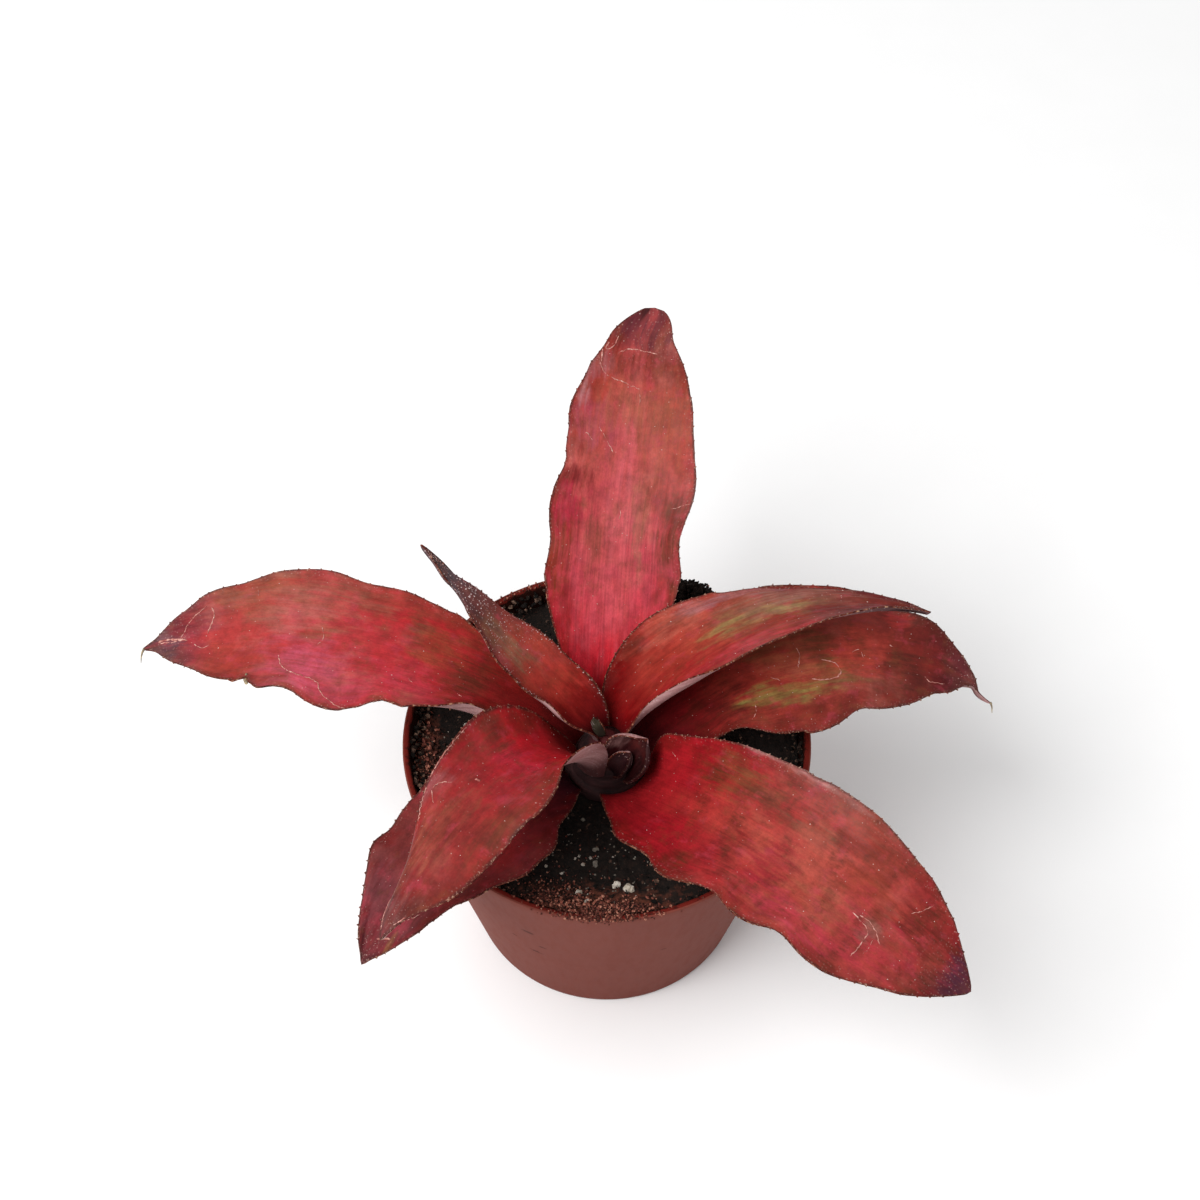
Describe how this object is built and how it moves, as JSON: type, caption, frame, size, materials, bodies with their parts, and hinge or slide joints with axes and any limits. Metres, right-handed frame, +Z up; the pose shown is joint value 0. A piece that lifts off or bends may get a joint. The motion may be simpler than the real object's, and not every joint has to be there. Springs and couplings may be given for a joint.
{
  "type": "potted earth star bromeliad",
  "caption": "Low rosette of arching, wavy, finely spined crimson leaves growing from peat in a small round tapered plastic nursery pot.",
  "frame": {"origin": "centre of the pot's flat underside", "axes": "+Z up along the pot's axis; +X along the plant's widest spread, from leaf_left to leaf_right_lower; +Y towards leaf_back"},
  "size_m": [0.1909, 0.1566, 0.1112],
  "materials": {
    "pot_plastic": "satin moulded polypropylene, terracotta brown",
    "peat": "dark crumbly peat with coir and perlite grains",
    "stem_tissue": "dull dark purple-brown",
    "leaf_red": "satin leathery leaf, crimson with bronze crossbands",
    "leaf_bronze": "satin leathery leaf, bronze red with scurf",
    "leaf_dark": "satin leathery leaf, dark wine red"
  },
  "bodies": {
    "root": {"pot": "pot_plastic", "soil": "peat", "stem": "stem_tissue", "leaf_back": "leaf_red", "leaf_left": "leaf_red", "leaf_young_left": "leaf_bronze", "leaf_right_upper": "leaf_bronze", "leaf_right_lower": "leaf_dark", "leaf_front_right": "leaf_red", "leaf_front_left_upper": "leaf_red", "leaf_front_left_lower": "leaf_dark", "leaf_heart_inner": "leaf_dark", "leaf_heart_hood": "leaf_bronze", "leaf_heart_spike": "leaf_bronze"}
  },
  "joints": []
}
